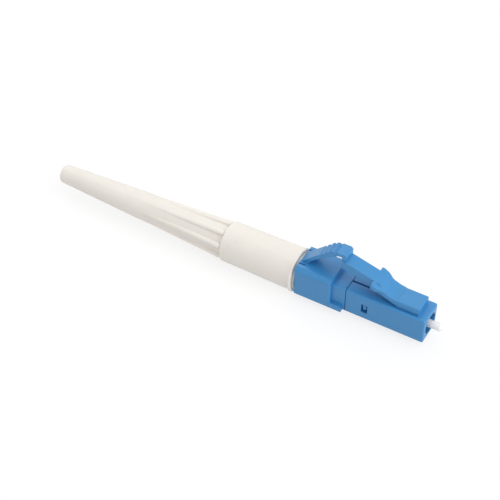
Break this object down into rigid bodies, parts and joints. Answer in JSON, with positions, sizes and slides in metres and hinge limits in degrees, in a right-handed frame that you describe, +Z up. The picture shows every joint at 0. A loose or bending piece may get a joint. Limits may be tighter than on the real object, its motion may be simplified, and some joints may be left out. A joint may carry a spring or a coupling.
{
  "type": "splice-on fibre connector",
  "caption": "Small-form fibre connector plug with a sprung ceramic ferrule, a latch worked by a trigger, a metal back post and a long ribbed strain-relief boot for a spliced cable.",
  "frame": {"origin": "on the ferrule's axis, in the front face of the plug housing", "axes": "+X along the ferrule's axis and out of the nose, +Z up through the latch, +Y to the plug's left"},
  "size_m": [0.0693, 0.0072, 0.0116],
  "materials": {
    "blue_plastic": "satin moulded",
    "zirconia": "polished",
    "nickel_plated_brass": "nickel plated, satin",
    "fibre_buffer": "smooth",
    "spring_steel": "drawn",
    "crimp_aluminium": "satin",
    "shrink_tube": "clear, shrunk",
    "melt_liner": "clear, melted",
    "white_boot": "matte"
  },
  "bodies": {
    "shell": {"front_housing": "blue_plastic", "rear_body": "blue_plastic", "back_post": "nickel_plated_brass", "crimp_sleeve": "crimp_aluminium", "boot": "white_boot", "coil_spring": "spring_steel"},
    "latch": {"latch_lever": "blue_plastic"},
    "trigger": {"trigger_lever": "blue_plastic"},
    "carrier": {"ferrule": "zirconia", "ferrule_flange": "nickel_plated_brass", "fibre_stub": "fibre_buffer", "splice_tube": "shrink_tube", "splice_liner": "melt_liner", "splice_rod": "spring_steel"}
  },
  "joints": [
    {"name": "trigger_press", "type": "hinge", "parent": "shell", "child": "trigger", "pos_m": [-0.01995, 0, 0.00382], "axis": [0, 1, 0], "range_deg": [0, 10], "stiffness_Nm_per_rad": 0.0005},
    {"name": "latch_flex", "type": "hinge", "parent": "shell", "child": "latch", "pos_m": [-0.00502, 0, 0.00257], "axis": [0, -1, 0], "range_deg": [0, 6], "stiffness_Nm_per_rad": 0.0005},
    {"name": "ferrule_float", "type": "slide", "parent": "shell", "child": "carrier", "axis": [-1, 0, 0], "range_m": [0, 0.001], "stiffness_N_per_m": 100, "springref_m": -0.02, "deforming": ["coil_spring"]}
  ],
  "couplings": [
    {"joint": "latch_flex", "follows": "trigger_press", "ratio": 0.6}
  ]
}
